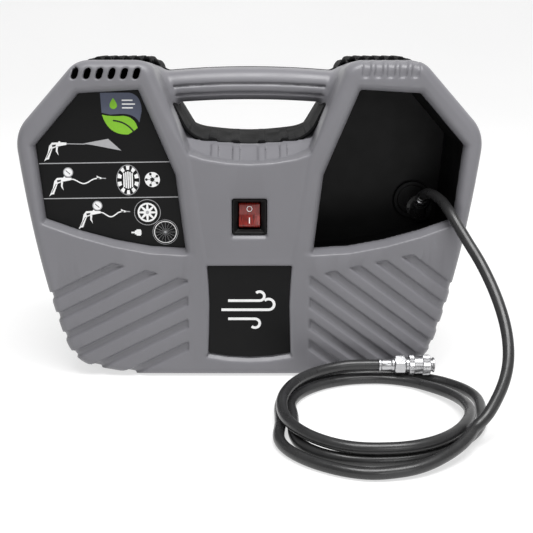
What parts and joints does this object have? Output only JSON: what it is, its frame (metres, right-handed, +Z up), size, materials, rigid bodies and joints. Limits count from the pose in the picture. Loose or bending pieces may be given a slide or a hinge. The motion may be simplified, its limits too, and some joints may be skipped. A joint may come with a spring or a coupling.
{
  "type": "air compressor",
  "caption": "Hand-carried oil-free air compressor: two-part plastic case with carrying handle, label panel, hose bay, rocker switch and a rubber hose with a quick coupler.",
  "frame": {"origin": "middle of the case in plan, at the level of its flat bottom; the hose and coupler are left out of that box", "axes": "+X along the case to the right of its front face, +Y from the front to the back, +Z up"},
  "size_m": [0.4101, 0.37, 0.2815],
  "materials": {
    "grey_plastic": "fine spark-eroded satin",
    "black_plastic": "fine spark-eroded matt",
    "panel_film": "satin printed film",
    "red_lens": "polished translucent",
    "rubber": "smooth matt",
    "zinc": "zinc plated",
    "steel": "ground",
    "aluminium": "die cast",
    "copper": "enamelled wire",
    "brass": "machined",
    "nylon": "moulded"
  },
  "bodies": {
    "case": {"front_shell": "grey_plastic", "rear_shell": "black_plastic", "label_panel": "panel_film", "nameplate": "panel_film", "storage_tray": "black_plastic", "hose_gland": "rubber", "switch_bezel": "black_plastic", "cord_gland": "rubber", "case_screw_1": "steel", "case_screw_2": "steel", "case_screw_3": "steel", "case_screw_4": "steel", "case_screw_5": "steel", "case_screw_6": "steel", "gear_bracket": "aluminium", "motor_end_bracket": "aluminium", "rubber_mount_1": "rubber", "rubber_mount_2": "rubber", "rubber_mount_3": "rubber", "rubber_mount_4": "rubber", "stator_core": "steel", "field_coil_upper": "copper", "field_coil_lower": "copper", "brush_holder_front": "brass", "brush_holder_rear": "brass", "drive_end_bearing": "steel", "brush_end_bearing": "steel", "crank_bearing": "steel", "cylinder": "aluminium", "valve_plate": "steel", "cylinder_head": "aluminium", "head_bolt_1": "steel", "head_bolt_2": "steel", "head_bolt_3": "steel", "head_bolt_4": "steel", "outlet_elbow": "brass", "relief_valve": "brass", "air_pipe": "rubber", "hose_run": "rubber", "hose_coil": "rubber", "hose_top_turn": "rubber", "hose_ferrule": "zinc", "hose_nut": "zinc", "coupler_body": "zinc"},
    "rotor": {"motor_shaft": "steel", "armature": "steel", "commutator": "copper", "cooling_fan": "black_plastic", "motor_pinion": "steel"},
    "crank": {"crank_gear": "nylon", "crank_pin": "steel"},
    "rod": {"connecting_rod": "aluminium"},
    "piston_group": {"piston": "aluminium", "piston_seal": "nylon", "wrist_pin_left": "steel", "wrist_pin_right": "steel"},
    "rocker": {"power_switch_rocker": "red_lens"},
    "sleeve": {"coupler_sleeve": "zinc"}
  },
  "joints": [
    {"name": "motor_spin", "type": "hinge", "parent": "case", "child": "rotor", "pos_m": [0, 0.008, 0.056], "axis": [1, 0, 0], "continuous": true},
    {"name": "crank_spin", "type": "hinge", "parent": "case", "child": "crank", "pos_m": [0, 0.008, 0.091], "axis": [1, 0, 0], "continuous": true},
    {"name": "rod_swing", "type": "hinge", "parent": "crank", "child": "rod", "pos_m": [-0.072, 0.008, 0.084], "axis": [1, 0, 0], "continuous": true},
    {"name": "piston_slide", "type": "slide", "parent": "case", "child": "piston_group", "axis": [0, 0, 1], "range_m": [0, 0.014]},
    {"name": "rocker_tilt", "type": "hinge", "parent": "case", "child": "rocker", "pos_m": [0, -0.073, 0.148], "axis": [1, 0, 0], "range_deg": [0, 22]},
    {"name": "coupler_sleeve_slide", "type": "slide", "parent": "case", "child": "sleeve", "axis": [-1, 0, 0], "range_m": [0, 0.0028], "stiffness_N_per_m": 900, "springref_m": -0.002}
  ],
  "couplings": [
    {"joint": "crank_spin", "follows": "motor_spin", "ratio": -0.27273},
    {"joint": "rod_swing", "follows": "motor_spin", "ratio": 0.27273}
  ]
}
